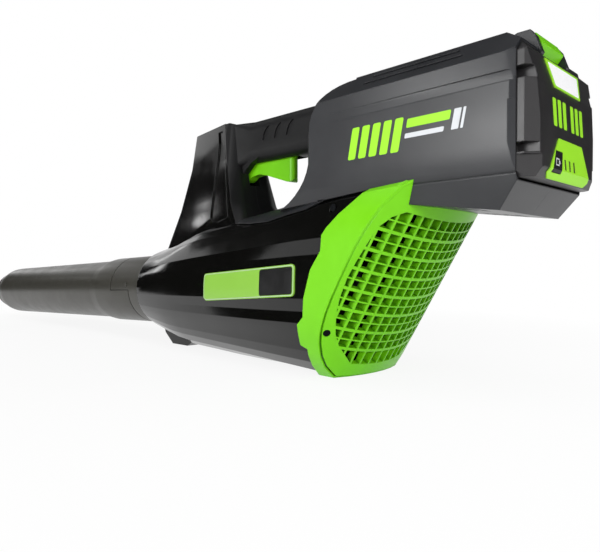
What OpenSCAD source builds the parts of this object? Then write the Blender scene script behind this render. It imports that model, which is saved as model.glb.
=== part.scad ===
// Hand-held battery leaf blower: an axial fan in a fluted two-half housing, a long round
// blower tube in front, a loop handle with a trigger on top, and a battery that slides
// into the rear over a slanted intake grille.
//
// Layout: the blower tube points along -X, +Z is up, and Y runs across. Everything is laid
// out from the rear rim of the battery housing (x = 0 while building) and from the floor
// (z = 0), and place() then moves the middle of the whole length to the origin.
// "Left" is the operator's left, the -Y side.

/* [Fan axis] */
// Height of the fan axis above the floor at the rear rim
axis_h = 83.2; // [82:0.1:85]
// Nose-down tilt of the fan axis and the tube, in degrees
tilt = 1.8; // [1.4:0.1:2.2]

/* [Blower tube] */
// Outer diameter of the tube
tube_od = 84; // [82:1:84]
// Wall of the tube
tube_wall = 2.2; // [1.8:0.1:3]
// Distance from the rear rim to the nozzle tip
tube_reach = 1081; // [1000:1:1150]
// Length of the tapered nozzle end
taper_len = 58; // [40:1:80]
// Outer diameter of the tip ring
tip_od = 68; // [62:1:74]
// Outer diameter of the neck and of the tube's collar
collar_od = 90; // [90:1:94]
// Dark gap left between the neck and the collar
collar_gap = 1.6; // [1:0.1:2.5]

/* [Fan housing] */
// Distance from the rear rim to the housing's front rim
rim_reach = 494; // [480:1:505]
// Radius of the housing's front rim
rim_r = 51; // [49:1:53]
// Wall of the moulded shells
skin = 2.6; // [2:0.1:3]
// Depth of the long flutes at the rear
flute = 3.6; // [1:0.1:4.5]

/* [Intake cover] */
// Lean of the grille from upright, in degrees
lean = 31; // [28:1:34]
// Distance from the rear rim to the foot of the grille
intake_reach = 157; // [150:1:165]
// Radius of the bowed grille
grille_r = 134; // [125:1:150]
// Depth of the grille's bars
bar_depth = 5; // [3:0.5:7]
// Rows of openings, an odd number
grid_rows = 15; // [9:2:17]
// Distance between the upright bars
grid_pitch = 10.3; // [9:0.1:12]

/* [Battery housing] */
// Width of the battery housing
bay_w = 120; // [118:1:126]
// Height of its flat top above the floor
bay_top = 255; // [252:1:260]
// Height of its underside above the floor
bay_low = 134; // [132:1:138]
// Width of the chamfer along the top corners
bay_chamfer = 20; // [14:1:24]

/* [Battery] */
// Width of the battery
pack_w = 113; // [108:1:114]
// Height of the battery's underside above the floor
pack_low = 154; // [153:0.5:156]
// Height of the battery's top above the floor
pack_top = 236; // [232:0.5:237]
// Length of the battery's case inside the housing
pack_l = 136; // [120:1:142]
// How far the end cap stands out behind the rear rim
pack_out = 13.5; // [10:0.5:18]

/* [Handle] */
// Width of the grip
grip_w = 34; // [30:1:38]
// Height of the grip
grip_h = 46; // [42:1:48]
// Height of the grip's top above the floor
grip_top = 254; // [250:1:258]

/* [Controls] */
// Width of the trigger
trigger_w = 10; // [8:1:14]
// Diameter of the pivot pins
pin_d = 4; // [3:0.5:5]
// Radial clearance of a turning pin
pin_clear = 0.05; // [0.03:0.01:0.1]

/* [Fan] */
// Number of fan blades
blades = 9; // [7:1:13]
// Number of guide vanes
vanes = 7; // [5:1:11]
// Inner radius of the fan duct
duct_r = 56; // [54:1:57]

/* [Hidden] */
$fn = 64;

// the middle of the whole length comes to the origin
x_front = -(tube_reach * cos(tilt) + tip_od / 2 * sin(tilt));
x_shift = -(x_front + pack_out) / 2;

black = "#161616";
charcoal = "#33363b";
lime = "#7fdc14";
steel = "#b9bcc0";

// ---------------------------------------------------------------- helpers

module place() translate([x_shift, 0, 0]) children();

// the frame of the fan and the tube: x runs back along the axis
module on_axis() translate([0, 0, axis_h]) rotate([0, -tilt, 0]) children();

// a round bar along the fan axis from x = from to x = to
module bar(from, to, r, r2 = -1)
    translate([from, 0, 0]) rotate([0, 90, 0])
        cylinder(h = to - from, r1 = r, r2 = r2 < 0 ? r : r2);

// a round tube along the fan axis
module pipe(from, to, r_out, r_in) difference() {
    bar(from, to, r_out);
    bar(from - 1, to + 1, r_in);
}

// a round bar across the machine, centred on y = 0
module cross_bar(x, z, w, r)
    translate([x, w / 2, z]) rotate([90, 0, 0]) cylinder(h = w, r = r);

// a side-view outline given as [x, z] points, carried across the width w
module side_profile(w) translate([0, w / 2, 0]) rotate([90, 0, 0])
    linear_extrude(height = w) children();

// a rear-view outline given as [y, z] points, carried from x = from to x = to
module rear_profile(from, to) translate([from, 0, 0]) rotate([90, 0, 90])
    linear_extrude(height = to - from) children();

// a plan outline given as [x, y] points, carried up from z = low to z = high
module plan_profile(low, high) translate([0, 0, low])
    linear_extrude(height = high - low) children();

// everything on one side of the middle plane: side is -1 for left and 1 for right
module half(side) intersection() {
    children();
    translate([-700, side > 0 ? 0 : -200, -50]) cube([800, 200, 400]);
}

module rounded_square(w, h, r) {
    square([w - 2 * r, h], center = true);
    square([w, h - 2 * r], center = true);
    for (sx = [-1, 1], sy = [-1, 1])
        translate([sx * (w / 2 - r), sy * (h / 2 - r)]) circle(r);
}

// a solid between two matching grids of points, outer[i][j] and inner[i][j]; a round one
// closes on itself in j
module slab(outer, inner, round = false) {
    m = len(outer);
    n = len(outer[0]);
    last = round ? n - 1 : n - 2;
    points = concat([for (row = outer) each row], [for (row = inner) each row]);
    function o(i, j) = i * n + j % n;
    function b(i, j) = m * n + i * n + j % n;
    function quad(a, b, c, d) = [[a, b, c], [a, c, d]];
    polyhedron(points, concat(
        [for (i = [0:m - 2], j = [0:last]) each quad(o(i, j), o(i + 1, j), o(i + 1, j + 1), o(i, j + 1))],
        [for (i = [0:m - 2], j = [0:last]) each quad(b(i, j), b(i, j + 1), b(i + 1, j + 1), b(i + 1, j))],
        [for (j = [0:last]) each quad(o(0, j), o(0, j + 1), b(0, j + 1), b(0, j))],
        [for (j = [0:last]) each quad(o(m - 1, j + 1), o(m - 1, j), b(m - 1, j), b(m - 1, j + 1))],
        round ? [] : [for (i = [0:m - 2]) each quad(o(i + 1, 0), o(i, 0), b(i, 0), b(i + 1, 0))],
        round ? [] : [for (i = [0:m - 2]) each quad(o(i, n - 1), o(i + 1, n - 1), b(i + 1, n - 1), b(i, n - 1))]),
        convexity = 6);
}

// ---------------------------------------------------------------- the body's fluted skin

// half widths and heights of the section about the fan axis, by distance along it
WIDTH = [[-494, rim_r], [-450, 56], [-400, 61], [-328, 66.5], [-250, 71], [-180, 74], [-60, 76]];
ABOVE = [[-494, rim_r], [-450, 57], [-410, 66], [-367, 73], [-318, 75], [-253, 79], [-197, 84], [-60, 88]];
BELOW = [[-494, rim_r], [-475, 56], [-445, 64], [-420, 70], [-350, 74], [-290, 78], [-181, 86], [-60, 88]];
// corner sharpness of the section: 2 is an ellipse, higher is boxier
BOXY_TOP = [[-494, 2], [-367, 2.2], [-253, 2.6], [-150, 3.6], [-60, 4]];
BOXY_LOW = [[-494, 2], [-60, 2.7]];
// depth of the flutes along the axis, and their saw-tooth shape by angle above the axis
DEPTH = [[-494, 0], [-430, flute / 6], [-300, flute * 0.75], [-150, flute], [-60, flute]];
SAW = [[-90, 0.4], [-50, 0.4], [-34, 1], [-22.5, 0.15], [-15.5, 1], [-6.5, 0], [22, 1], [30, 0], [90, 0]];
CREASES = [for (s = SAW) s[0]];
// the shells end along a line that leans back with the intake
SHELL_END = -147;
END_LEAN = 0.43;
STATIONS = [-rim_reach, -475, -450, -428, -405, -367, -318, -275, -235, -197, -168, SHELL_END];

// the side's angles: each stretch between two creases is divided in steps of about 10 degrees
SIDE = concat([for (i = [0:len(CREASES) - 2])
    let (a = CREASES[i], b = CREASES[i + 1], n = ceil((b - a) / 10))
        each [for (k = [0:n - 1]) a + (b - a) * k / n]], [90]);

PLAIN = 0;
FLUTED = 1;
INSIDE = 2;
function skin_r(u, a, grow, style) = let (
    w = lookup(u, WIDTH) + grow,
    h = lookup(u, a > 0 ? ABOVE : BELOW) + grow,
    n = lookup(u, a > 0 ? BOXY_TOP : BOXY_LOW),
    cut = lookup(u, DEPTH) * (style == PLAIN ? 0 : style == FLUTED ? lookup(a, SAW) : 1))
    pow(pow(cos(a) / w, n) + pow(abs(sin(a)) / h, n), -1 / n) - cut;

// the lowest place of the skin, level with the floor
function floor_w(u, z) = (z - axis_h - u * sin(tilt)) / cos(tilt);

// a point of the skin at the distance u and the angle a, on the side s, no lower than z
function skin_point(u, a, s, grow, z, style) = let (r = skin_r(u, a, grow, style))
    [u, s * r * cos(a), max(r * sin(a), floor_w(u, z))];

// the same where the station leans back with height
function leaning_u(u, a, lean) = u + skin_r(u, a, 0, PLAIN) * sin(a) * lean;
function station_lean(u) = END_LEAN * max(0, (u + 260) / (SHELL_END + 260));

// one moulded half of the fluted skin: the right one
module right_shell() on_axis() slab(
    [for (u = STATIONS) [for (a = SIDE)
        skin_point(leaning_u(u, a, station_lean(u)), a, 1, 0, 1.5, FLUTED)]],
    [for (u = STATIONS) [for (a = SIDE)
        skin_point(leaning_u(u, a, station_lean(u)) + (u == -rim_reach ? skin : 0), a, 1, -skin, 1.5 + skin, INSIDE)]]);

// a patch that lies on the skin's right side between two stations and two angles
module skin_patch(from, to, low, high, thick) on_axis() slab(
    [for (u = STATIONS) if (u >= from && u <= to) [for (a = SIDE) if (a >= low && a <= high)
        skin_point(leaning_u(u, a, station_lean(u)), a, 1, thick, 0, FLUTED)]],
    [for (u = STATIONS) if (u >= from && u <= to) [for (a = SIDE) if (a >= low && a <= high)
        skin_point(leaning_u(u, a, station_lean(u)), a, 1, 0, 0, FLUTED)]]);

module on_side(side) if (side > 0) children(); else mirror([0, 1, 0]) children();

// ---------------------------------------------------------------- outlines shared by neighbours

// the frame of the leaning grille: x points out through it, z runs up along it
module on_lean() translate([-intake_reach, 0, 0]) rotate([0, lean, 0]) children();

// how far forward the bowed grille lies at a place across and up: x in the layout
function bow_x(y, z) = let (n = sqrt(grille_r * grille_r - y * y) - grille_r)
    z * tan(lean) - intake_reach + n / cos(lean);

// a layout point given in the fan axis's frame, and back
function from_axis(p) = [p[0] * cos(tilt) - p[2] * sin(tilt), p[1], axis_h + p[0] * sin(tilt) + p[2] * cos(tilt)];

// a point of the skin on the bowed face of the intake: the distance is found in a few steps
function bow_u(a, grow, u, k = 5) = k == 0 ? u :
    let (p = from_axis(skin_point(u, a, 1, grow, 0, PLAIN)))
        bow_u(a, grow, (bow_x(p[1], p[2]) + (p[2] - axis_h) * sin(tilt)) / cos(tilt), k - 1);

// side view of the intake cover's bands, from their front edge to past the grille
module cover_outline() polygon([
    [-50, 164], [-118, 164], [-118, 157], [-150, 128], [-154, 122], [-154, 109], [-165, 94],
    [-173, 70], [-175, 54], [-183, 47], [-184, 29], [-177, 26], [-181, 9], [-185, -2], [-50, -2]]);

// side view of the battery housing
module bay_outline() polygon([
    [0, 244.8], [-14.5, bay_top], [-160, bay_top], [-172, 253], [-186, 248], [-200, 240], [-212, 229],
    [-222, 215], [-262, 204],
    [-262, 146], [-166, 153], [-118, 157], [-100, bay_low + 11], [-14, bay_low], [0, bay_low + 18]]);

// rear view of the battery housing
module bay_section() polygon([
    for (s = [1, -1]) each let (h = bay_w / 2, pts = [
        [h - 10, bay_low - 2], [h - 1.5, 161], [h, 177], [h, bay_top - bay_chamfer], [h - bay_chamfer, bay_top]])
        [for (i = [0:4]) s > 0 ? pts[i] : [-pts[4 - i][0], pts[4 - i][1]]]]);

// the front of the battery housing is cut away around the grip by a cove across the middle
// and by a curved face along each corner, which runs at 45 degrees
COVE_R = 52;
module corner_cut() side_profile(240) polygon(concat(
    [for (a = [262:-8.2:180]) [50 + 50 * cos(a), 192 + 50 * sin(a)]],
    [for (a = [0:10:90]) [-40 + 40 * cos(a), 213 + 40 * sin(a)]],
    [[-40, 300], [200, 300], [200, 142.5]]));
module bay_coves() {
    intersection() {
        union() {
            translate([-263, 100, 154.6 + COVE_R]) rotate([90, 0, 0]) cylinder(h = 200, r = COVE_R);
            translate([-311, -100, 154.6 + COVE_R]) cube([100, 200, 90]);
        }
        translate([-300, -60, 100]) cube([100, 120, 200]);
    }
    for (s = [-1, 1]) translate([-182, s * bay_w / 2, 0]) rotate([0, 0, -s * 45]) mirror([1, 0, 0]) corner_cut();
}

module bay_solid() difference() {
    intersection() {
        side_profile(bay_w + 4) bay_outline();
        rear_profile(-270, 1) bay_section();
    }
    bay_coves();
}

// the skirt that carries the housing out over the body's shoulders
module bay_skirt() intersection() {
    skin_patch(-318, SHELL_END, 30, 90, 1.5);
    side_profile(200) polygon([
        [-310, 160], [-310, 142], [-275, 139], [-240, 138.5], [-211, 143], [-185, 146], [-166, 153], [-135, 158],
        [-130, 175]]);
}

// everything below the floor line of the housing
module below(z) translate([-700, -150, z - 60]) cube([800, 300, 60]);

// ---------------------------------------------------------------- fan housing

// the post in front of the grip: a narrow nose that curves down and widens to the rear
NOSE = [[-486, 112, 11], [-451, 165, 10.5], [-429, 215, 9], [-420, 255, 8]];
// the rear line of the post: distance back, height, and half width
BACK = [[-313, 143, 36], [-325, 165, 33], [-340, 215, 26], [-347, 254.5, 23]];
module post_solid(shrink = 0) for (k = [0:2]) hull() for (i = [k, k + 1])
    let (n = NOSE[i], b = BACK[i], z = i == 0 ? shrink : i == 3 ? -shrink : 0) {
        translate([n[0], 0, n[1] + z]) cylinder(h = 0.5, r = n[2] - shrink, $fn = 32);
        translate([b[0], shrink - b[2], b[1] + z]) cube([0.5, 2 * (b[2] - shrink), 0.5]);
    }

module post_hollow() hull() {
    translate([-458, 0, 118]) cylinder(h = 1, r = 7, $fn = 32);
    translate([-414, 0, 250]) cylinder(h = 1, r = 4.6, $fn = 32);
    translate([-316, -29, 118]) cube([1, 58, 26]);
    translate([-350, -17.5, 250]) cube([1, 35, 1]);
}

// the neck: a short sleeve all round and a longer upper half
module neck() on_axis() difference() {
    union() {
        bar(-rim_reach - 32, -rim_reach + 6, collar_od / 2);
        bar(-rim_reach + 0.2, -rim_reach + 4, rim_r - 1);
        intersection() {
            bar(-rim_reach - 81, -rim_reach, collar_od / 2);
            translate([-600, -50, 0]) cube([110, 100, 60]);
        }
    }
    bar(-rim_reach - 90, -rim_reach - 11, tube_od / 2 + 0.4);
}

module front_foot() side_profile(40)
    polygon([[-478, 18], [-476, 13], [-459, 0], [-427, 0], [-418, 5], [-400, 6], [-400, 9], [-440, 15]]);

module fan_housing(side) difference() {
    union() {
        on_side(side) right_shell();
        // the lug that the cover's screw goes into
        translate([-184, side > 0 ? 54 : -66, 40]) cube([23, 12, 16]);
        // webs hold the fan duct in the middle plane
        on_axis() for (w = [58.45, -74]) translate([-322, side > 0 ? 0 : -2, w]) cube([82, 2, 15]);
        half(side) difference() {
            union() {
                post_solid();
                neck();
                front_foot();
            }
            post_hollow();
            on_axis() bar(-600, -480, 40);
        }
    }
    bay_solid();
    post_outline();
    boost_room();
    boost_switch_room();
    on_axis() bar(-487.9, -440, 43.2, 48);
    // the recessed strip on the post's side
    difference() {
        translate([0, side * 60, 0]) side_profile(118) polygon([
            [-363, 248], [-352, 248], [-350, 234], [-337, 180], [-330, 150], [-352, 146], [-365, 147.5],
            [-370, 152], [-371, 160], [-370, 171], [-361, 235]]);
        post_solid(1.6);
    }
    for (p = SHELL_SCREWS) if (side > 0 || p[0] == -150) screw_hole(p, side);
    at_cover_screw(side) translate([0, 0, -20]) cylinder(h = 20, r = 1.65);
    on_axis() translate([-rim_reach - 39, -43, 6.4]) rotate([90, 0, 0]) cylinder(h = 20, r = 3.4, center = true);
}

// how far out the skin lies at a place in the side view: the angle is found in a few steps
function side_y(x, z, a = 0, k = 6) = let (r = skin_r(x, a, 0, FLUTED))
    k == 0 ? r * cos(a) : side_y(x, z, asin(min(0.98, (z - axis_h - x * sin(tilt)) / r)), k - 1);

// the screws that hold the two halves together, as places in the side view
SHELL_SCREWS = [[-150, 144.5], [-300, 20], [-405, 100], [-210, 24], [-300, 128]];
module at_screw(p, side) translate([p[0], side * side_y(p[0], p[1]), p[1]]) rotate([side * -90, 0, 0]) children();
// a sunk seat and a clear hole through the right half, and a blind one in the left half
module screw_hole(p, side) at_screw(p, side) {
    translate([0, 0, -2]) cylinder(h = 12, r = 3.8);
    translate([0, 0, -20]) cylinder(h = 30, r = 1.65);
}

module fan_housing_left() color(black) fan_housing(-1);
module fan_housing_right() color(black) fan_housing(1);

// ---------------------------------------------------------------- battery housing

// the room that the battery slides into, open at the rear
module bay_room() translate([0.1, 0, 0]) rear_profile(-pack_l - 8, 2) polygon([
    for (s = [1, -1]) each let (h = pack_w / 2 + 0.8, pts = [
        [h - 4, pack_low - 1.2], [h, pack_low + 3], [h, pack_top - 11], [h - 12.5, pack_top + 1.2]])
        [for (i = [0:3]) s > 0 ? pts[i] : [-pts[3 - i][0], pts[3 - i][1]]]]);
module cap_recess() rear_profile(-6.8, 2) cap_section(0.8);

module battery_housing(side) difference() {
    union() {
        half(side) bay_solid();
        on_side(side) bay_skirt();
    }
    // the battery's room stops short above the body's top
    difference() {
        bay_room();
        side_profile(pack_w + 10)
            polygon([[-150, 140], [-150, 161.5], [-136, 160.6], [-113, 157.2], [-108, 152.8], [-108, 140]]);
    }
    cap_recess();
    grip_post();
    // the electronics room in front of the battery, and the room under it
    plan_profile(150, 232) polygon([[-147, -56], [-175, -56], [-205, -26], [-205, 26], [-175, 56], [-147, 56]]);
    side_profile(98) polygon([[-96, 147.6], [-20, 138], [-14, 138], [-10, 144], [-10, 150.2], [-96, 150.2]]);
    // the room under the roof
    rear_profile(-142, -30) polygon([[-46, 240.3], [-46, 242], [-38, 251], [38, 251], [46, 242], [46, 240.3]]);
    // the window of the terminal block
    translate([-150, -24.3, 159.7]) cube([8, 48.6, 30.6]);
    // two long vents in each top chamfer
    for (k = [0, 1]) translate([-85, side * (51.5 - 6 * k), 243.5 + 6 * k])
        rotate([side * -45, 0, 0]) rounded_slot(88 - 10 * k, 3.2, 12);
    // short vents across the underside
    for (k = [0:3]) translate([-36 - 9 * k, side * 34, 140]) rotate([0, 0, 90]) rounded_slot(26, 4, 30);
    // seats of the latch bracket and the grip
    translate([-23, -24.6, 240.5]) cube([33, 49.2, 30]);
    // the side's shallow band, which deepens to the rear
    plan_profile(216, 223) polygon([
        [-165, side * (bay_w / 2 + 3)], [-165, side * (bay_w / 2 + 0.01)], [1, side * (bay_w / 2 - 1.3)],
        [1, side * (bay_w / 2 + 3)]]);
    // the rim's chamfer, wide at the top and stepped in the middle
    for (c = [[140, 204, 4.8], [204, 218, 3.6], [218, 236, 7.2]]) plan_profile(c[0], c[1]) polygon([
        [-c[2], side * (bay_w / 2 + 0.01)], [0.5, side * (bay_w / 2 - 2.4)], [0.5, side * (bay_w / 2 + 3)],
        [-c[2], side * (bay_w / 2 + 3)]]);
    translate([-240, 0, grip_top - grip_h / 2]) rotate([90, 0, 90])
        linear_extrude(height = 36) rounded_square(grip_w, grip_h, grip_w * 0.38);
}

// a slot with round ends, lying along x and cut along z
module rounded_slot(l, w, depth) linear_extrude(height = depth, center = true) {
    square([l - w, w], center = true);
    for (s = [-1, 1]) translate([s * (l - w) / 2, 0]) circle(w / 2);
}

module battery_housing_left() color(charcoal) battery_housing(-1);
module battery_housing_right() color(charcoal) battery_housing(1);

// ---------------------------------------------------------------- grip

module grip_bar(w, h, from, to)
    translate([from, 0, grip_top - grip_h / 2]) rotate([90, 0, 90])
        linear_extrude(height = to - from) rounded_square(w, h, w * 0.38);

// the straight-sided outline round the post, which the fan housing is cut to
module post_outline() intersection() {
    side_profile(80) polygon([
        [-347, 254.5], [-344, 257], [-329, 250], [-324, 235], [-324, 215], [-327, 205], [-318, 165],
        [-309, 146], [-304, 139], [-312, 139], [-313, 143], [-325, 165], [-340, 215]]);
    rear_profile(-360, -290) polygon([[-37, 138], [37, 138], [23, 257], [-23, 257]]);
}

// the post behind the glossy nose, down to the body's top: its line by height, as front edge,
// rear face, half width and the radius of its rear corners
POST = [[139, -311, -304, 36.5, 5], [146, -314.4, -309, 35.5, 16], [165, -324.8, -318, 33, 17],
    [205, -336.8, -327, 27.5, 12], [254, -346.6, -330, 23, 8]];
module post_slice(p) {
    translate([p[1], -p[3], p[0]]) cube([0.5, 2 * p[3], 0.5]);
    for (s = [-1, 1]) translate([p[2] - p[4], s * (p[3] - p[4]), p[0]]) cylinder(h = 0.5, r = p[4], $fn = 32);
}
module grip_post() intersection() {
    post_outline();
    for (k = [0:3]) hull() {
        post_slice(POST[k]);
        post_slice(POST[k + 1]);
    }
}

module trigger_room() {
    translate([-341, -7.5, 186]) cube([94, 15, 46]);
}

module grip(side) difference() {
    half(side) difference() {
        union() {
            grip_bar(grip_w, grip_h, -336, -206);
            grip_post();
            // it grows out of the post
            hull() {
                translate([-338, -22, 206]) cube([1, 44, 46]);
                grip_bar(grip_w, grip_h, -313, -312);
            }
            // the cheeks on both sides of the trigger
            side_profile(grip_w - 4) polygon([
                [-336, 240], [-336, 195], [-329, 193], [-325, 199], [-313, 208], [-300, 213], [-300, 240]]);
        }
        grip_bar(grip_w - 6, grip_h - 6, -329.5, -209);
        trigger_room();
        // the post sits on the body's top
        on_axis() translate([-400, -60, -60]) cube([200, 120, 128]);
        boost_room();
        boost_switch_room();
        cross_bar(TRIGGER_X, TRIGGER_Z, 26, pin_d / 2);
    }
    // three leaf-shaped finger dents
    for (k = [0:2]) translate([-286 + 18 * k, side * (grip_w / 2), 236]) rotate([0, 35, 0]) leaf_dent(side);
}

// the overlap of two discs, pressed shallowly into the side
module leaf_dent(side) rotate([90, 0, 0]) linear_extrude(height = 3, center = true)
    intersection() {
        translate([-13, 0]) circle(16);
        translate([13, 0]) circle(16);
    }

module grip_left() color(charcoal) grip(-1);
module grip_right() color(charcoal) grip(1);

// ---------------------------------------------------------------- trigger and boost button

TRIGGER_X = -334;
TRIGGER_Z = 216;

module trigger() color(lime) intersection() {
    side_profile(trigger_w) difference() {
        union() {
            translate([TRIGGER_X, TRIGGER_Z]) circle(6);
            polygon([
                [-336, 212], [-334.5, 194], [-332, 190.5], [-329, 191], [-322, 195.5], [-310, 197], [-297, 194],
                [-267, 184.6], [-263, 184], [-258, 189], [-258, 214], [-300, 214], [-332, 221]]);
            translate([-263, 189]) circle(5);
        }
        translate([TRIGGER_X, TRIGGER_Z]) circle(pin_d / 2 + pin_clear);
    }
    // its rear end is round in plan
    plan_profile(180, 230) union() {
        translate([-345, -trigger_w / 2]) square([82.5, trigger_w]);
        translate([-258 - trigger_w / 2, 0]) circle(trigger_w / 2);
    }
}

module trigger_pin() color(steel) cross_bar(TRIGGER_X, TRIGGER_Z, 26, pin_d / 2);

// a helical spring under the switch, standing on the trigger
module trigger_spring() color(steel) coil([-285, 0, 214.2], 4, 0.5, 15, 6);

module coil(at, r, wire, h, turns) translate(at) for (k = [0:turns - 1])
    translate([0, 0, wire + (h - 2 * wire) * k / (turns - 1)])
        rotate_extrude() translate([r, 0]) circle(wire, $fn = 16);

module trigger_switch() color(black) difference() {
    translate([-304, -9, 229.5]) cube([38, 18, 15]);
    translate([-290, -10, 241]) cube([10, 20, 5]);
}

// the boost button stands in the slope between the post's top and the grip
BOOST = [-337, 0, 253];
module at_boost() translate(BOOST) rotate([0, 18, 0]) children();
module boost_room() at_boost() translate([0, 0, -12]) cylinder(h = 20, r = 7.3);
module boost_switch_room() at_boost() translate([-5.3, -5.3, -20.3]) cube([10.6, 10.6, 9]);
module boost_button() color(charcoal) at_boost() {
    translate([0, 0, -8]) cylinder(h = 10, r = 7);
}
module boost_switch() color(black) at_boost() translate([-5, -5, -20]) cube([10, 10, 7]);

// ---------------------------------------------------------------- intake cover

GRID_LOW = 12;
GRID_HIGH = 154;

// the grille's field in its own plane: [across, up along the lean]
module grid_field() polygon([for (s = [1, -1]) each let (pts = [
    [36, GRID_LOW], [54, 28], [61, 38], [67.5, 56], [70.5, 73], [71.5, 90], [70.5, 106], [69, 121],
    [67, 136], [61, 147], [52, GRID_HIGH]], n = len(pts))
    [for (i = [0:n - 1]) s > 0 ? pts[i] : [-pts[n - 1 - i][0], pts[n - 1 - i][1]]]]);

// the bars: every second row bar is thick
module grid_bars() {
    row = (GRID_HIGH - GRID_LOW) / (grid_rows + 0.6);
    for (k = [1:grid_rows - 1]) translate([0, GRID_HIGH - row * k])
        square([160, k % 2 == 0 ? 2.8 : 1.4], center = true);
    for (k = [0:6], s = [-1, 1]) translate([s * (k + 0.5) * grid_pitch, 80])
        square([1.7, 180], center = true);
}

// the cover's side bands: a ring of skin from in front of their edge to the bowed face
BAND_STEPS = 3;
RING = concat([for (a = SIDE) [1, a]], [for (i = [len(SIDE) - 2:-1:1]) [-1, SIDE[i]]]);
function band_row(k, grow, z) = [for (q = RING)
    let (a = q[1], back = bow_u(a, 1.8, -100), front = min(back - 8, leaning_u(-196, a, 0.2)))
        skin_point(front + (back - front) * k / BAND_STEPS, a, q[0], grow, z, PLAIN)];

module cover_band() intersection() {
    on_axis() slab(
        [for (k = [0:BAND_STEPS]) band_row(k, 1.8, 0)],
        [for (k = [0:BAND_STEPS]) band_row(k, 0.05, 1.45)],
        round = true);
    side_profile(200) cover_outline();
}

// the outline of the bowed face, flattened on the grille's plane
function on_face(p) = [p[1], (p[2] + (sqrt(grille_r * grille_r - p[1] * p[1]) - grille_r) * sin(lean)) / cos(lean)];
FACE = [for (q = RING) on_face(from_axis(skin_point(bow_u(q[1], 0, -100), q[1], q[0], 0, 1, PLAIN)))];

module grille() on_lean() intersection() {
    translate([-50, 0, 0]) rotate([90, 0, 90]) linear_extrude(height = 60) difference() {
        polygon(FACE);
        difference() {
            grid_field();
            grid_bars();
        }
    }
    translate([-grille_r, 0, -40]) difference() {
        cylinder(h = 260, r = grille_r);
        translate([0, 0, -1]) cylinder(h = 262, r = grille_r - bar_depth);
    }
}

// four deep ribs stiffen the grille from behind
module grille_ribs() on_lean() for (y = [-4.5, -1.5, 1.5, 4.5] * grid_pitch)
    let (sag = grille_r - sqrt(grille_r * grille_r - y * y))
        translate([-sag - 16, y - 0.85, 12]) cube([13, 1.7, 146]);

module intake_cover() color(lime) difference() {
    union() {
        cover_band();
        grille();
        grille_ribs();
    }
    bay_solid();
    for (s = [-1, 1]) at_cover_screw(s) {
        translate([0, 0, -2]) cylinder(h = 12, r = 3.3);
        translate([0, 0, -20]) cylinder(h = 20, r = 1.7);
    }
}

// a screw on each side of the bowed face holds the cover
module at_cover_screw(s) on_lean() translate([-grille_r, 0, 37.5]) rotate([0, 0, s * asin(68 / grille_r)])
    translate([grille_r, 0, 0]) rotate([0, 90, 0]) children();
module cover_screws() color(steel) for (s = [-1, 1]) at_cover_screw(s) {
    translate([0, 0, -2]) cylinder(h = 1.6, r = 3.1);
    translate([0, 0, -18]) cylinder(h = 16.5, r = 1.6);
}

// ---------------------------------------------------------------- fan and motor

module fan_duct() color(black) on_axis() difference() {
    union() {
        pipe(-332, -234, duct_r + 2.4, duct_r);
        bar(-330, -276, 27);
        for (k = [0:vanes - 1]) rotate([360 / vanes * k + 10, 0, 0]) guide_vane();
    }
    bar(-327, -270, 24.5);
    bar(-340, -320, 6);
}

// a curved vane that straightens the air behind the fan
module guide_vane() translate([-306, 0, 25]) linear_extrude(height = duct_r - 24.4) intersection() {
    difference() {
        translate([0, -40]) circle(41.1);
        translate([0, -40]) circle(38.9);
    }
    square([46, 60], center = true);
}

module bell_mouth() color(black) on_axis() translate([-234, 0, 0]) rotate([0, 90, 0]) rotate_extrude()
    polygon([for (a = [0:10:90]) [duct_r + 8 - 8 * cos(a), 12 * sin(a)], for (a = [90:-10:0]) [duct_r + 8 - 5.6 * cos(a), 12 * sin(a) - 0.01]]);

module outlet_cone() color(black) on_axis() difference() {
    bar(-487.9, -332.1, 43, duct_r + 2.4);
    bar(-488, -332, 40.8, duct_r);
}

module tail_cone() color(black) on_axis() translate([-330, 0, 0]) rotate([0, -90, 0]) rotate_extrude()
    polygon([for (a = [0:9:90]) [27 * cos(a), 72 * sin(a)], for (a = [90:-9:0]) [24.6 * cos(a), 69.6 * sin(a)]]);

module motor_stator() color("#8a4b2a") on_axis() difference() {
    pipe(-318, -286, 19, 9);
    for (k = [0:11]) rotate([30 * k, 0, 0]) translate([-302, 0, 17]) cube([40, 3, 10], center = true);
}

module motor_bearings() color(steel) on_axis() {
    pipe(-326.9, -320, 9, 4);
    pipe(-293, -287, 8.95, 4);
}

module rotor_shaft() color(steel) on_axis() bar(-329, -232, 3.95);

module rotor_magnets() color(steel) on_axis() {
    pipe(-318, -280, 23.5, 20);
    pipe(-283, -280, 23.5, 3.95);
}

module fan_impeller() color(black) on_axis() {
    difference() {
        bar(-274, -244, 26);
        bar(-275, -243, 4);
        bar(-275, -252, 22);
    }
    for (k = [0:blades - 1]) rotate([360 / blades * k, 0, 0]) fan_blade();
}

// one twisted, cambered blade from the hub to just inside the duct
BLADE_CHORD = 34;
function blade_point(k, t, face) = let (
    r = 24 + (duct_r - 24.8) * k / 4,
    pitch = 52 - 22 * k / 4,
    c = (t - 0.5) * BLADE_CHORD,
    h = 4.5 * (1 - pow(2 * t - 1, 2)) + face * (0.4 + 1.1 * sin(180 * t)))
    [-259 + c * cos(pitch) - h * sin(pitch), (c * sin(pitch) + h * cos(pitch)), r];
module fan_blade() slab(
    [for (k = [0:4]) [for (t = [0:0.2:1]) blade_point(k, t, -1)]],
    [for (k = [0:4]) [for (t = [0:0.2:1]) blade_point(k, t, 1)]]);

module fan_nut() color(steel) on_axis() {
    pipe(-243.9, -238, 7, 3.95);
}

// ---------------------------------------------------------------- electronics

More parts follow.
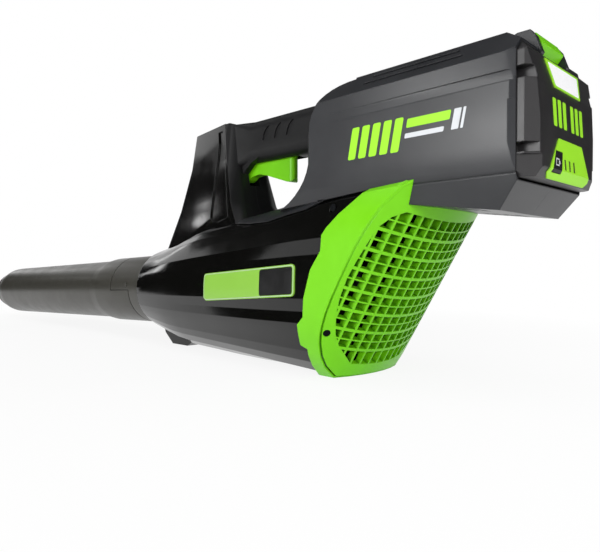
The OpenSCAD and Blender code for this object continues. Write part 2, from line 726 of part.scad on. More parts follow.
module controller() color("#2b2f33") {
    translate([-190, -38, 151]) cube([38, 76, 12]);
    for (k = [0:5]) translate([-188 + 6 * k, -36, 163]) cube([2.5, 72, 10]);
}

// the block that the battery plugs onto, with a blade for each terminal
module terminal_block() color(black) {
    translate([-150, -24, 160]) cube([7.5, 48, 30]);
}

// ---------------------------------------------------------------- latch

LATCH_X = -12;
LATCH_Z = 249;

module latch_bracket() color(charcoal) difference() {
    side_profile(49) polygon([
        [-22.5, 240.5], [-22.5, 256], [-14.4, 259], [-5.2, 259], [-1.3, 254], [3, 242], [2, 240.5]]);
    translate([-19, -20, 230]) cube([60, 40, 40]);
    cross_bar(LATCH_X, LATCH_Z, 60, pin_d / 2);
}

module latch_pin() color(steel) cross_bar(LATCH_X, LATCH_Z, 48, pin_d / 2);

module latch_lever() color(lime) side_profile(38) difference() {
    polygon([
        [-17, 249], [-16, 254.5], [-13, 257.8], [-3.5, 257.8], [0.8, 250.5], [0.4, 249.5], [-4.5, 243.5],
        [-8, 242], [-14, 244], [-16.3, 246]]);
    translate([LATCH_X, LATCH_Z]) circle(pin_d / 2 + pin_clear);
}

// ---------------------------------------------------------------- battery

module pack_section(shrink) polygon([
    for (s = [1, -1]) each let (h = pack_w / 2 - shrink, pts = [
        [h - 4, pack_low + shrink], [h, pack_low + 4], [h, pack_top - 12], [h - 12, pack_top - shrink]])
        [for (i = [0:3]) s > 0 ? pts[i] : [-pts[3 - i][0], pts[3 - i][1]]]]);

module battery_case() color(black) difference() {
    rear_profile(-pack_l, -6) pack_section(0);
    difference() {
        rear_profile(-pack_l + 3, -5) pack_section(3);
        front_relief(3);
    }
    front_relief(0);
}

// the case's low front edge is cut back over the body's top
module front_relief(wall) side_profile(pack_w + 10) polygon([
    [-pack_l - 5, pack_low - 5], [-pack_l - 5, 162.4 + wall], [-pack_l, 162 + wall], [-114, 158.4 + wall],
    [-108, 153 + wall], [-108, pack_low - 5]]);

// the cap's section: as wide as the case, and taller
module cap_section(grow) polygon([
    for (s = [1, -1]) each let (h = pack_w / 2 + grow, pts = [
        [h - 4, pack_low - grow], [h, pack_low + 4], [h, pack_top - 1], [h - 7.5, pack_top + 6.5 + grow * 0.8]])
        [for (i = [0:3]) s > 0 ? pts[i] : [-pts[3 - i][0], pts[3 - i][1]]]]);

// the side view of the cap's rear face
function face_line(t) = [
    [9 + t, pack_low], [pack_out - 0.8 + t, 161], [pack_out - 1 + t, 184], [pack_out - 3 + t, 216], [6 + t, pack_top]];
// a plate that lies on the rear face, given by its rear outline
module face_plate(t, from = 0) intersection() {
    side_profile(pack_w) polygon(concat(face_line(t), [for (k = [4:-1:0]) face_line(from)[k]]));
    rear_profile(0, 30) children();
}
module button_outline(grow) polygon([
    [-26 - grow, 173 + grow], [-15 + grow, 173 + grow], [-16 + grow, 159 - grow], [-31 - grow, 159 - grow]]);

module battery_end_cap() color(charcoal) difference() {
    intersection() {
        rear_profile(-6, pack_out) cap_section(0);
        side_profile(pack_w)
            polygon(concat([[-6, pack_low]], face_line(0), [[0, pack_top + 6.5], [-6, pack_top + 6.5]]));
        // plan: the middle stands furthest back, between the two slots
        plan_profile(100, 260) polygon([for (s = [1, -1]) each let (h = pack_w / 2, pts = [
            [-6, h], [5, h], [pack_out - 1.5, h - 8], [pack_out, h - 20]])
            [for (i = [0:3]) s > 0 ? pts[i] : [pts[3 - i][0], -pts[3 - i][1]]]]);
    }
    // two grip slots on each side, and the flats below the bulge between them
    for (s = [-1, 1]) {
        translate([6, s * 56, 221]) cube([20, 15, 8], center = true);
        translate([7, s * 56, 173]) cube([20, 15, 6.5], center = true);
        translate([6, s * 56, 152]) rotate([0, 0, s * -40]) cube([30, 7, 33], center = true);
    }
    // the latch reaches over the middle of its top
    translate([-8, -25.5, 239.2]) cube([20, 51, 10]);
    // pocket of the charge button, and holes for the screws
    face_plate(1, -2.6) button_outline(0.5);
    for (s = [-1, 1]) translate([-7, s * 45, 166]) rotate([0, 90, 0]) cylinder(h = 11.5, r = 2.05);
    // the cap is hollow
    rear_profile(-7, 2) pack_section(14);
}

CELL_R = 9.1;
module battery_cells() color(steel)
    for (row = [0:3], k = [0:4]) translate([-106.5, -40 + 20 * k, 166.6 + 18.6 * row])
        rotate([0, 90, 0]) cylinder(h = 65, r = CELL_R, $fn = 32);

module battery_terminals() color(steel)
    for (k = [-1, 0, 1]) translate([-pack_l - 4, 14 * k - 1, 166]) cube([4, 2, 14]);

module battery_top_plate() color(lime) face_plate(0.8) polygon([[-30, 235], [30, 235], [23, 216], [-23, 216]]);
module charge_panel() color(lime) face_plate(0.8) difference() {
    polygon([[-21, 182], [21, 182], [37, 158], [33, 154.5], [-33, 154.5], [-37, 158]]);
    button_outline(0.5);
    for (k = [0:2]) charge_mark(k, 0.1);
}
module charge_mark(k, grow) translate([8 * k, 0]) polygon([
    [-12 - grow, 169 + grow], [-9.5 + grow, 169 + grow], [-8 + grow, 162 - grow], [-10.5 - grow, 162 - grow]]);
module charge_lights() color("#e8e8e8") face_plate(0.8) for (k = [0:2]) charge_mark(k, 0);
module charge_button() color(black) face_plate(0.8, -1) button_outline(0);
module battery_screws() color(steel) for (s = [-1, 1])
    translate([-5.9, s * 45, 166]) rotate([0, 90, 0]) cylinder(h = 10, r = 2);

// ---------------------------------------------------------------- fasteners and plates

module housing_screws() color(steel) for (p = SHELL_SCREWS, side = [-1, 1])
    if (side > 0 || p[0] == -150) at_screw(p, side) {
    translate([0, 0, -2]) cylinder(h = 1.6, r = 3.1);
    translate([0, 0, -8]) cylinder(h = 6.5, r = 1.6);
}

module side_plate(side) on_side(side) intersection() {
    skin_patch(-367, -168, -15.5, 22, 1.2);
    translate([-257, 110, 80]) rotate([0, -4, 0]) rotate([90, 0, 0])
        linear_extrude(height = 80) rounded_square(141, 28, 4);
}
module side_plate_left() color(lime) side_plate(-1);
module side_plate_right() color(lime) side_plate(1);

// ---------------------------------------------------------------- blower tube

TUBE_TAPER = -tube_reach + taper_len;

module blower_tube() color(charcoal) on_axis() difference() {
    union() {
        bar(TUBE_TAPER, -rim_reach - 12, tube_od / 2);
        translate([TUBE_TAPER, 0, 0]) nozzle_taper(tube_od / 2, tip_od / 2 + 1);
        // the collar's lower half runs back to the neck, and its upper half stops early
        bar(-650, -620, tube_od / 2, collar_od / 2);
        difference() {
            bar(-620, -rim_reach - 32 - collar_gap, collar_od / 2);
            translate([-rim_reach - 81 - collar_gap, -60, -1]) cube([100, 120, 80]);
        }
    }
    bar(TUBE_TAPER - 1, -400, tube_od / 2 - tube_wall);
    translate([TUBE_TAPER, 0, 0]) nozzle_taper(tube_od / 2 - tube_wall, tip_od / 2 + 1 - tube_wall);
    // keyway for the lock, open to the rear
    translate([-rim_reach - 43, -60, 2.9]) cube([60, 40, 7]);
}

// the rounded taper of the nozzle, from r1 at the back to r2 at the front
module nozzle_taper(r1, r2) rotate([0, -90, 0]) rotate_extrude() polygon([
    [0, -0.5], [r1, -0.5], for (t = [0:0.125:1]) [r1 - (r1 - r2) * t * t, (taper_len - 16) * t], [0, taper_len - 16]]);

module nozzle_ring() color(steel) on_axis() translate([-tube_reach, 0, 0]) rotate([0, 90, 0]) rotate_extrude() polygon([
    [tip_od / 2 - 2.4, 0], [tip_od / 2 - 0.8, 0], [tip_od / 2, 1], [tip_od / 2 + 1, 16], [tip_od / 2 - 1.2, 16], [tip_od / 2 - 2.4, 14]]);

module tube_lock_button() color(steel) on_axis() translate([-rim_reach - 39, -45.4, 6.4]) rotate([-90, 0, 0])
    cylinder(h = 5, r = 3);

// ---------------------------------------------------------------- the nodes

place() fan_housing_left();
place() fan_housing_right();
place() battery_housing_left();
place() battery_housing_right();
place() grip_left();
place() grip_right();
place() intake_cover();
place() fan_duct();
place() bell_mouth();
place() outlet_cone();
place() tail_cone();
place() motor_stator();
place() motor_bearings();
place() controller();
place() terminal_block();
place() trigger_switch();
place() trigger_pin();
place() trigger_spring();
place() boost_switch();
place() latch_bracket();
place() latch_pin();
place() housing_screws();
place() cover_screws();
place() side_plate_left();
place() side_plate_right();
place() fan_impeller();
place() rotor_shaft();
place() rotor_magnets();
place() fan_nut();
place() trigger();
place() boost_button();
place() battery_case();
place() battery_end_cap();
place() battery_cells();
place() battery_terminals();
place() battery_top_plate();
place() charge_panel();
place() charge_lights();
place() battery_screws();
place() charge_button();
place() latch_lever();
place() blower_tube();
place() nozzle_ring();
place() tube_lock_button();
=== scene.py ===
from math import atan, cos, pi, radians, sin

import bmesh
import bpy
from mathutils import Matrix, Vector
from mathutils.bvhtree import BVHTree


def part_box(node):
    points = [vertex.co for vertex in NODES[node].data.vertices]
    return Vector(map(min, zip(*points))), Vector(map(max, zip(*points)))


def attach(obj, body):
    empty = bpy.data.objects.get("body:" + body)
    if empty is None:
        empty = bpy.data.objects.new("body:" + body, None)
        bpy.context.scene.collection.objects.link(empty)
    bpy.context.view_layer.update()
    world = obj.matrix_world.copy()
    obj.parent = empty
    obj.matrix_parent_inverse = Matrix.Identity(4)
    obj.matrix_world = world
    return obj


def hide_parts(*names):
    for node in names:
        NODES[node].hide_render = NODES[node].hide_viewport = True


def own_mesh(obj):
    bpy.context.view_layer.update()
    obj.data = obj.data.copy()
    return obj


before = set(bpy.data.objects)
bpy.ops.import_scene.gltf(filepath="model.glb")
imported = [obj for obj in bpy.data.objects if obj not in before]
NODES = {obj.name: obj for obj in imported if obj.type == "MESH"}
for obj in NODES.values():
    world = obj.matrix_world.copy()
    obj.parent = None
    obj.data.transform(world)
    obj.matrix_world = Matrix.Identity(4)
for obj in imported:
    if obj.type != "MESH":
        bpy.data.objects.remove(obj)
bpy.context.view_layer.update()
MM = 0.001

# places along the machine: the battery housing's rear rim and the fan housing's front rim
REAR_RIM = 534.0175 * MM
FRONT_RIM = REAR_RIM - 494 * MM

GLOSS_BLACK = "#080807"
TUBE_GREY = "#3b3a35"
WHITE = "#ffffff"
# the values that a noise texture keeps to
NOISE_LOW, NOISE_HIGH = 0.3, 0.7


# ---------------------------------------------------------------- small helpers


def linear(hex_colour):
    """An sRGB hex colour as the linear RGBA that the shaders work in."""
    channels = [int(hex_colour[i : i + 2], 16) / 255 for i in (1, 3, 5)]
    return (*[c / 12.92 if c <= 0.04045 else ((c + 0.055) / 1.055) ** 2.4 for c in channels], 1)


def add_node(tree, kind, settings=None, inputs=None):
    """Adds a node; settings are its properties, and inputs are values or sockets to link."""
    node = tree.nodes.new(kind)
    for name, value in (settings or {}).items():
        setattr(node, name, value)
    for name, value in (inputs or {}).items():
        if isinstance(value, bpy.types.NodeSocket):
            tree.links.new(value, node.inputs[name])
        else:
            node.inputs[name].default_value = value
    return node


def new_material(name, colour, roughness, **sockets):
    """A Principled material; returns it with its tree and its shader node."""
    material = bpy.data.materials.new(name)
    material.use_nodes = True
    tree = material.node_tree
    shader = tree.nodes["Principled BSDF"]
    shader.inputs["Base Color"].default_value = linear(colour)
    shader.inputs["Roughness"].default_value = roughness
    for socket, value in sockets.items():
        shader.inputs[socket.replace("_", " ")].default_value = value
    return material, tree, shader


def moulded(tree, shader, grain_mm, depth_mm, edge_mm, detail=2.0):
    """A grain of lumps grain_mm across and depth_mm deep, over edges rounded by edge_mm."""
    place = add_node(tree, "ShaderNodeTexCoord").outputs["Object"]
    lumps = add_node(
        tree,
        "ShaderNodeTexNoise",
        inputs={"Vector": place, "Scale": 1 / (grain_mm * MM), "Detail": detail},
    )
    edges = add_node(tree, "ShaderNodeBevel", inputs={"Radius": edge_mm * MM})
    bump = add_node(
        tree,
        "ShaderNodeBump",
        inputs={
            "Height": lumps.outputs["Fac"],
            "Distance": depth_mm * MM,
            "Normal": edges.outputs["Normal"],
        },
    )
    tree.links.new(bump.outputs["Normal"], shader.inputs["Normal"])


def uneven(tree, shader, patch_mm, low, high, colours=None):
    """Roughness drifts from low to high in patches patch_mm across, and so may the colour."""
    place = add_node(tree, "ShaderNodeTexCoord").outputs["Object"]
    patches = add_node(
        tree,
        "ShaderNodeTexNoise",
        inputs={"Vector": place, "Scale": 1 / (patch_mm * MM), "Detail": 3.0, "Roughness": 0.6},
    )
    drift = add_node(
        tree,
        "ShaderNodeMapRange",
        inputs={
            "Value": patches.outputs["Fac"],
            "From Min": NOISE_LOW,
            "From Max": NOISE_HIGH,
            "To Min": low,
            "To Max": high,
        },
    )
    tree.links.new(drift.outputs["Result"], shader.inputs["Roughness"])
    if colours:
        ramp = add_node(tree, "ShaderNodeValToRGB", inputs={"Fac": patches.outputs["Fac"]})
        for stop, share, colour in zip(ramp.color_ramp.elements, (0.35, 0.65), colours):
            stop.position = share
            stop.color = linear(colour)
        tree.links.new(ramp.outputs["Color"], shader.inputs["Base Color"])


def new_skin(name, colour, roughness, mould=None, wear=None, **sockets):
    """A material with what moulded() and uneven() add; roughness is its middle value."""
    material, tree, shader = new_material(name, colour, roughness, **sockets)
    if mould:
        moulded(tree, shader, **mould)
    if wear:
        uneven(tree, shader, **wear)
    return material


def satin_neck(material):
    """In front of the body's rim the mould is satin grey, like the tube that plugs in there."""
    satin = 0.34
    tree = material.node_tree
    shader = tree.nodes["Principled BSDF"]
    place = add_node(tree, "ShaderNodeTexCoord").outputs["Object"]
    along = add_node(tree, "ShaderNodeSeparateXYZ", inputs={"Vector": place}).outputs["X"]
    behind = add_node(
        tree,
        "ShaderNodeMapRange",
        inputs={"Value": along, "From Min": FRONT_RIM - MM, "From Max": FRONT_RIM},
    ).outputs["Result"]
    colour = add_node(
        tree,
        "ShaderNodeMix",
        {"data_type": "RGBA"},
        {0: behind, 6: linear(TUBE_GREY), 7: linear(GLOSS_BLACK)},
    )
    tree.links.new(colour.outputs[2], shader.inputs["Base Color"])
    gloss = shader.inputs["Roughness"].links[0].from_socket
    roughness = add_node(
        tree,
        "ShaderNodeMix",
        {"data_type": "FLOAT"},
        {0: behind, 2: satin, 3: gloss},
    )
    tree.links.new(roughness.outputs[0], shader.inputs["Roughness"])


def paint_recess_shade(material, reach_mm, recess_shade_colour):
    """Painted shade: between close walls, as in the grille's openings, the colour darkens to a
    shade colour.
    """
    shut, open_to_all = 0.3, 0.85  # the shares of free sight that give the one and the other
    tree = material.node_tree
    shader = tree.nodes["Principled BSDF"]
    skin = shader.inputs["Base Color"].links[0].from_socket
    near = add_node(
        tree,
        "ShaderNodeAmbientOcclusion",
        {"samples": 8, "only_local": True},
        {"Distance": reach_mm * MM},
    )
    openness = add_node(
        tree,
        "ShaderNodeMapRange",
        inputs={"Value": near.outputs["AO"], "From Min": shut, "From Max": open_to_all},
    )
    colour = add_node(
        tree,
        "ShaderNodeMix",
        {"data_type": "RGBA"},
        {0: openness.outputs["Result"], 6: linear(recess_shade_colour), 7: skin},
    )
    tree.links.new(colour.outputs[2], shader.inputs["Base Color"])


# ---------------------------------------------------------------- materials


# polished-mould black ABS: near black, with clear reflections that bend with slight sink marks
GLOSS = new_skin(
    "gloss_black_abs",
    GLOSS_BLACK,
    0.1,
    mould={"grain_mm": 34, "depth_mm": 0.16, "edge_mm": 0.9, "detail": 0.0},
    wear={"patch_mm": 30, "low": 0.08, "high": 0.16},
    IOR=1.5,
    Specular_IOR_Level=0.4,
)
satin_neck(GLOSS)

# satin-mould grey-black ABS: reflections spread into soft bands
TUBE = new_skin(
    "satin_tube_abs",
    TUBE_GREY,
    0.32,
    mould={"grain_mm": 1.2, "depth_mm": 0.02, "edge_mm": 0.6},
    wear={"patch_mm": 25, "low": 0.28, "high": 0.36},
    IOR=1.5,
    Specular_IOR_Level=0.22,
)

# spark-eroded charcoal ABS: a fine satin grain, drawn at 1 mm so that it shows
CHARCOAL = new_skin(
    "textured_charcoal_abs",
    "#242528",
    0.33,
    mould={"grain_mm": 1.0, "depth_mm": 0.04, "edge_mm": 1.0},
    wear={"patch_mm": 40, "low": 0.3, "high": 0.36, "colours": ("#212225", "#26272a")},
    IOR=1.5,
)

# the battery's moulding: a little browner and smoother than the housing
CAP = new_skin(
    "satin_charcoal_abs",
    "#2b2a2b",
    0.38,
    mould={"grain_mm": 0.9, "depth_mm": 0.03, "edge_mm": 1.0},
    wear={"patch_mm": 25, "low": 0.34, "high": 0.42, "colours": ("#2a292a", "#2d2c2d")},
    IOR=1.5,
)

# thermoplastic rubber moulded over the handle: dark and dull, with a coarser grain
GRIP = new_skin(
    "overmoulded_tpe",
    "#0f0f10",
    0.5,
    mould={"grain_mm": 1.1, "depth_mm": 0.1, "edge_mm": 1.0},
    wear={"patch_mm": 18, "low": 0.44, "high": 0.56},
    IOR=1.5,
    Specular_IOR_Level=0.28,
)

# through-coloured lime ABS: saturated, with a satin skin
LIME = new_skin(
    "lime_abs",
    "#73cb0f",
    0.36,
    mould={"grain_mm": 1.0, "depth_mm": 0.015, "edge_mm": 0.7},
    wear={"patch_mm": 30, "low": 0.32, "high": 0.4, "colours": ("#71c90d", "#75cd12")},
    IOR=1.5,
    Specular_IOR_Level=0.3,
)
# painted shade: the lime darkens to deep green in the grille's openings and other crevices
paint_recess_shade(LIME, 9, "#1f5a04")

# printed polycarbonate film on the battery and the side marks: flat, even and satin
LIME_FILM = new_skin(
    "lime_polycarbonate_film",
    "#9ae02e",
    0.42,
    mould={"grain_mm": 0.8, "depth_mm": 0.006, "edge_mm": 0.3},
    wear={"patch_mm": 12, "low": 0.36, "high": 0.44},
    Specular_IOR_Level=0.25,
)

# the badge's film has faded to a greyer green than the housing's prints
BADGE_FILM = new_skin(
    "faded_lime_film",
    "#86bd40",
    0.4,
    mould={"grain_mm": 0.8, "depth_mm": 0.006, "edge_mm": 0.3},
    wear={"patch_mm": 12, "low": 0.36, "high": 0.44},
)

# the same film printed black
BLACK_FILM = new_skin(
    "black_polycarbonate_film",
    "#0c0c0d",
    0.35,
    wear={"patch_mm": 12, "low": 0.3, "high": 0.4},
)

# a bare label of coated white paper, its fibres just showing
LABEL = new_skin(
    "coated_label_paper",
    "#f4f4f6",
    0.55,
    wear={"patch_mm": 1.5, "low": 0.5, "high": 0.6, "colours": ("#f2f2f4", "#f8f8fa")},
)

# pale grey ink, screen printed
PALE_INK = new_skin(
    "pale_grey_ink",
    "#c9ccd0",
    0.45,
    wear={"patch_mm": 4, "low": 0.4, "high": 0.5},
)

# glass-filled nylon of the duct, fan and fittings: dull black with a fibre grain
NYLON = new_skin(
    "glass_filled_nylon",
    "#141415",
    0.55,
    mould={"grain_mm": 0.8, "depth_mm": 0.03, "edge_mm": 0.4},
    wear={"patch_mm": 8, "low": 0.5, "high": 0.62},
)

# turned steel: bright metal, its tool marks a fine unevenness
STEEL = new_skin(
    "machined_steel",
    "#c3c5c8",
    0.32,
    wear={"patch_mm": 2, "low": 0.26, "high": 0.38},
    Metallic=1.0,
)

# blackened screw steel: dark metal with a soft sheen
SCREW = new_skin(
    "black_oxide_steel",
    "#18191b",
    0.45,
    wear={"patch_mm": 2, "low": 0.36, "high": 0.5},
    Metallic=1.0,
)

# enamelled copper wire: the windings show as fine ridges
COPPER = new_skin(
    "enamelled_copper",
    "#9a4f26",
    0.35,
    mould={"grain_mm": 0.9, "depth_mm": 0.08, "edge_mm": 0.3},
    Metallic=1.0,
)

# die-cast heat sink: pale grey with a slight pitting
ALUMINIUM = new_skin(
    "cast_aluminium",
    "#a9abae",
    0.45,
    mould={"grain_mm": 1.5, "depth_mm": 0.04, "edge_mm": 0.3},
    Metallic=1.0,
)

# rolled brass contact strip, slightly tarnished in patches
BRASS = new_skin(
    "brass_strip",
    "#caa45a",
    0.3,
    wear={"patch_mm": 5, "low": 0.24, "high": 0.4, "colours": ("#c39c50", "#d0ac64")},
    Metallic=1.0,
)

# light windows, unlit: dull green polycarbonate, smoother than the panel
WINDOW = new_skin(
    "light_window_polycarbonate",
    "#4d5a2e",
    0.25,
    wear={"patch_mm": 3, "low": 0.2, "high": 0.3},
)

FINISHES = {
    GLOSS: ["fan_housing_left", "fan_housing_right"],
    TUBE: ["blower_tube", "nozzle_ring", "tube_lock_button"],
    CHARCOAL: ["battery_housing_left", "battery_housing_right", "latch_bracket"],
    CAP: ["battery_case", "battery_end_cap"],
    GRIP: ["grip_left", "grip_right", "boost_button"],
    LIME: ["intake_cover", "trigger", "latch_lever"],
    LIME_FILM: ["battery_top_plate", "charge_panel"],
    BADGE_FILM: ["side_plate_left", "side_plate_right"],
    NYLON: [
        "fan_duct",
        "bell_mouth",
        "outlet_cone",
        "tail_cone",
        "terminal_block",
        "trigger_switch",
        "boost_switch",
        "fan_impeller",
        "charge_button",
    ],
    STEEL: [
        "motor_bearings",
        "trigger_pin",
        "trigger_spring",
        "latch_pin",
        "rotor_shaft",
        "rotor_magnets",
        "fan_nut",
        "battery_cells",
    ],
    SCREW: ["housing_screws", "cover_screws", "battery_screws"],
    COPPER: ["motor_stator"],
    ALUMINIUM: ["controller"],
    BRASS: ["battery_terminals"],
    WINDOW: ["charge_lights"],
}

# corners closer than this are one corner of a frame node, whose triangles are loose
LOOSE = 0.02 * MM
# the angle in degrees up to which facets shade as one skin; the body's flutes meet at low
# ridges that stay crisp
CREASE = 24
RIDGES = {"fan_housing_left": 9, "fan_housing_right": 9}


def dress(node, material):
    """Gives a frame node its material and smooth shading across its gentle facets."""
    node.data.materials.clear()
    node.data.materials.append(material)
    node.data.polygons.foreach_set("use_smooth", [True] * len(node.data.polygons))
    weld = node.modifiers.new("weld", "WELD")
    weld.merge_threshold = LOOSE
    split = node.modifiers.new("creases", "EDGE_SPLIT")
    split.split_angle = radians(RIDGES.get(node.name, CREASE))


for finish, names in FINISHES.items():
    for name in names:
        dress(NODES[name], finish)


# ---------------------------------------------------------------- new pieces

# how many millimetres a print stands proud: on the housings, and on the battery's rear face,
# which is the machine's last surface
PRINT_RISE = 0.12
REAR_RISE = 0.06
# places of the marks in millimetres, as at() takes them: the middle of the marks on the battery
# housing's flat side, the middle of the badge, and a plane behind the battery's rear face
SIDE_X, SIDE_Y = -87, 60.02
BADGE_X, BADGE_Y, BADGE_Z = -257, 75, 80
BADGE_LEAN = radians(4)
BEHIND_BATTERY = 40
# six-lobed drives in millimetres: the ring's outer radius, the hole's, and the ring's height
DRIVE_RADIUS = 2.8
DRIVE_HOLE = 0.52 * DRIVE_RADIUS
DRIVE_RISE = 0.3


def at(x, y, z):
    """A point in metres, from millimetres behind the rear rim, across and above the floor."""
    return Vector((REAR_RIM + x * MM, y * MM, z * MM))


def link_mesh(name, mesh, material):
    """Makes an object of a bmesh, with one material."""
    data = bpy.data.meshes.new(name)
    mesh.to_mesh(data)
    mesh.free()
    thing = bpy.data.objects.new(name, data)
    bpy.context.collection.objects.link(thing)
    data.materials.append(material)
    return thing


def finish_piece(name, mesh, material, body):
    """Turns a bmesh into a piece of the machine that rides on a body."""
    bmesh.ops.remove_doubles(mesh, verts=mesh.verts, dist=0.002 * MM)
    bmesh.ops.recalc_face_normals(mesh, faces=mesh.faces)
    piece = link_mesh(name, mesh, material)
    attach(piece, body)
    return piece


def rounded_patch(mesh, corners, rounding):
    """A flat face with corners rounded by so many millimetres; returns its faces."""
    known = set(mesh.faces)
    verts = [mesh.verts.new(corner) for corner in corners]
    mesh.faces.new(verts)
    bmesh.ops.bevel(
        mesh,
        geom=verts,
        offset=rounding * MM,
        offset_type="OFFSET",
        segments=4,
        profile=0.5,
        affect="VERTICES",
        material=-1,
    )
    return [face for face in mesh.faces if face not in known]


def add_bars(mesh, place, bars, rounding, slant=0.0):
    """Adds a bar for each (start, end, low, high); place turns its corners into points."""
    faces = []
    for start, end, low, high in bars:
        lean = (high - low) * slant
        corners = [(start, low), (end, low), (end + lean, high), (start + lean, high)]
        faces += rounded_patch(mesh, [place(x, z) for x, z in corners], rounding)
    return faces


def hollow_out(mesh, faces, rim_mm):
    """Leaves only a rim of flat faces that together are one outline."""
    bmesh.ops.inset_region(
        mesh,
        faces=faces,
        thickness=rim_mm * MM,
        use_boundary=True,
        use_even_offset=True,
    )
    middle = max(mesh.faces, key=lambda face: len(face.verts))
    bmesh.ops.delete(mesh, geom=[middle], context="FACES")


def thicken(mesh, faces, rise):
    """Gives flat faces a thickness, by copying them along a vector."""
    grown = bmesh.ops.extrude_face_region(mesh, geom=faces, use_keep_orig=True)["geom"]
    copies = [part for part in grown if isinstance(part, bmesh.types.BMVert)]
    bmesh.ops.translate(mesh, verts=copies, vec=rise)


def surface_of(node):
    """A frame node's surface, for lay_on()."""
    data = NODES[node].data
    return BVHTree.FromPolygons(
        [vert.co for vert in data.vertices],
        [polygon.vertices[:] for polygon in data.polygons],
    )


def lay_on(mesh, surface, direction, rise_mm):
    """Drops every vertex onto a surface along a direction, and leaves it rise_mm proud."""
    direction = Vector(direction)
    run_up = direction * 0.3  # the fall starts 0.3 m out, clear of the machine
    for vert in mesh.verts:
        place, _, _, _ = surface.ray_cast(vert.co - run_up, direction)
        if place is not None:
            vert.co = place - direction * rise_mm * MM


def side_marks(side, name):
    """Slanted gauge bars and two lines, printed on the battery housing's flat side."""
    reader = 1 if side < 0 else -1  # the marks read from left to right on both sides

    def place(x, z):
        return at(SIDE_X + reader * x, side * SIDE_Y, z)

    pitch, width = 10.4, 7.4
    gauge = [(-51 + pitch * k, -51 + width + pitch * k, 182, 207) for k in range(5)]
    prints = [
        ("lime_bars", LIME_FILM, gauge, 1.4),
        ("lime_line", LIME_FILM, [(5, 41, 198.5, 205)], 1.0),
        ("pale_line", PALE_INK, [(3.5, 36, 191, 194.5)], 0.8),
        ("pale_block", PALE_INK, [(42, 47.5, 191, 205), (49, 51, 191, 205)], 0.6),
    ]
    for part, ink, bars, rounding in prints:
        mesh = bmesh.new()
        faces = add_bars(mesh, place, bars, rounding, slant=0.2)
        thicken(mesh, faces, (0, side * PRINT_RISE * MM, 0))
        finish_piece(f"{name}_{part}", mesh, ink, "machine")


def badge_print(side, name):
    """The badge's print: a fine line round its edge, a dark square at the reader's right end."""
    surface = surface_of(f"side_plate_{name}")
    inward = (0, -side, 0)
    reader = 1 if side < 0 else -1

    def place(x, z):
        """A point of the badge's own plan, which leans with the body's flutes."""
        along = x * cos(BADGE_LEAN) - z * sin(BADGE_LEAN)
        up = x * sin(BADGE_LEAN) + z * cos(BADGE_LEAN)
        return at(BADGE_X + along, side * BADGE_Y, BADGE_Z + up)

    square = bmesh.new()
    faces = add_bars(square, place, [(reader * 23, reader * 68, -12, 12)], 2.5)
    bmesh.ops.triangulate(square, faces=faces)
    bmesh.ops.subdivide_edges(square, edges=square.edges, cuts=5, use_grid_fill=True)
    lay_on(square, surface, inward, PRINT_RISE)
    finish_piece(f"badge_square_{name}", square, BLACK_FILM, "machine")

    line = bmesh.new()
    hollow_out(line, add_bars(line, place, [(-69.6, 69.6, -13.1, 13.1)], 3.2), 0.45)
    long_edges = [edge for edge in line.edges if edge.calc_length() > 12 * MM]
    bmesh.ops.subdivide_edges(line, edges=long_edges, cuts=19, use_grid_fill=True)
    lay_on(line, surface, inward, PRINT_RISE)
    finish_piece(f"badge_line_{name}", line, PALE_INK, "machine")


def battery_marks():
    """On the battery's rear face: two groups of plain lime bars, a bare label, a battery sign."""
    forward = (-1, 0, 0)

    def place(y, z):
        return at(BEHIND_BATTERY, y, z)

    pitch, width = 8.6, 5.8
    bars = bmesh.new()
    for first in (-27, 4):
        starts = [first + pitch * k for k in range(3)]
        add_bars(bars, place, [(start, start + width, 190, 209) for start in starts], 1.2)
    lay_on(bars, surface_of("battery_end_cap"), forward, REAR_RISE)
    finish_piece("battery_lime_bars", bars, LIME_FILM, "battery")

    label = bmesh.new()
    corners = ((-21.2, 217.6), (21.2, 217.6), (26.6, 233.4), (-26.6, 233.4))
    rounded_patch(label, [place(y, z) for y, z in corners], 1.5)
    lay_on(label, surface_of("battery_top_plate"), forward, REAR_RISE)
    finish_piece("battery_label", label, LABEL, "battery")

    low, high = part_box("charge_button")
    middle_y, middle_z = (low[1] + high[1]) / 2 / MM, (low[2] + high[2]) / 2 / MM

    def on_button(y, z):
        return place(middle_y + y, middle_z + z)

    sign = bmesh.new()
    hollow_out(sign, add_bars(sign, on_button, [(-3.4, 2.4, -2.5, 2.5)], 0.3), 0.9)
    add_bars(sign, on_button, [(2.5, 3.7, -1.2, 1.2)], 0.2)
    lay_on(sign, surface_of("charge_button"), forward, REAR_RISE)
    finish_piece("charge_sign", sign, PALE_INK, "charge_button_body")


def screw_heads(node):
    """The centre and the direction of each screw's head, read from its flat top."""
    smallest_top = 27 * MM * MM
    mesh = bmesh.new()
    mesh.from_mesh(NODES[node].data)
    bmesh.ops.remove_doubles(mesh, verts=mesh.verts, dist=LOOSE)
    bmesh.ops.dissolve_limit(
        mesh,
        angle_limit=radians(1),
        verts=mesh.verts,
        edges=mesh.edges,
    )
    tops = [face for face in mesh.faces if face.calc_area() > smallest_top]
    heads = [(face.calc_center_bounds(), face.normal.copy()) for face in tops]
    mesh.free()
    return heads


def add_circle(mesh, radius_mm, turn):
    """Adds an open circle of 24 vertices; returns them in their order."""
    known = set(mesh.verts)
    bmesh.ops.create_circle(mesh, cap_ends=False, segments=24, radius=radius_mm * MM, matrix=turn)
    return [vert for vert in mesh.verts if vert not in known]


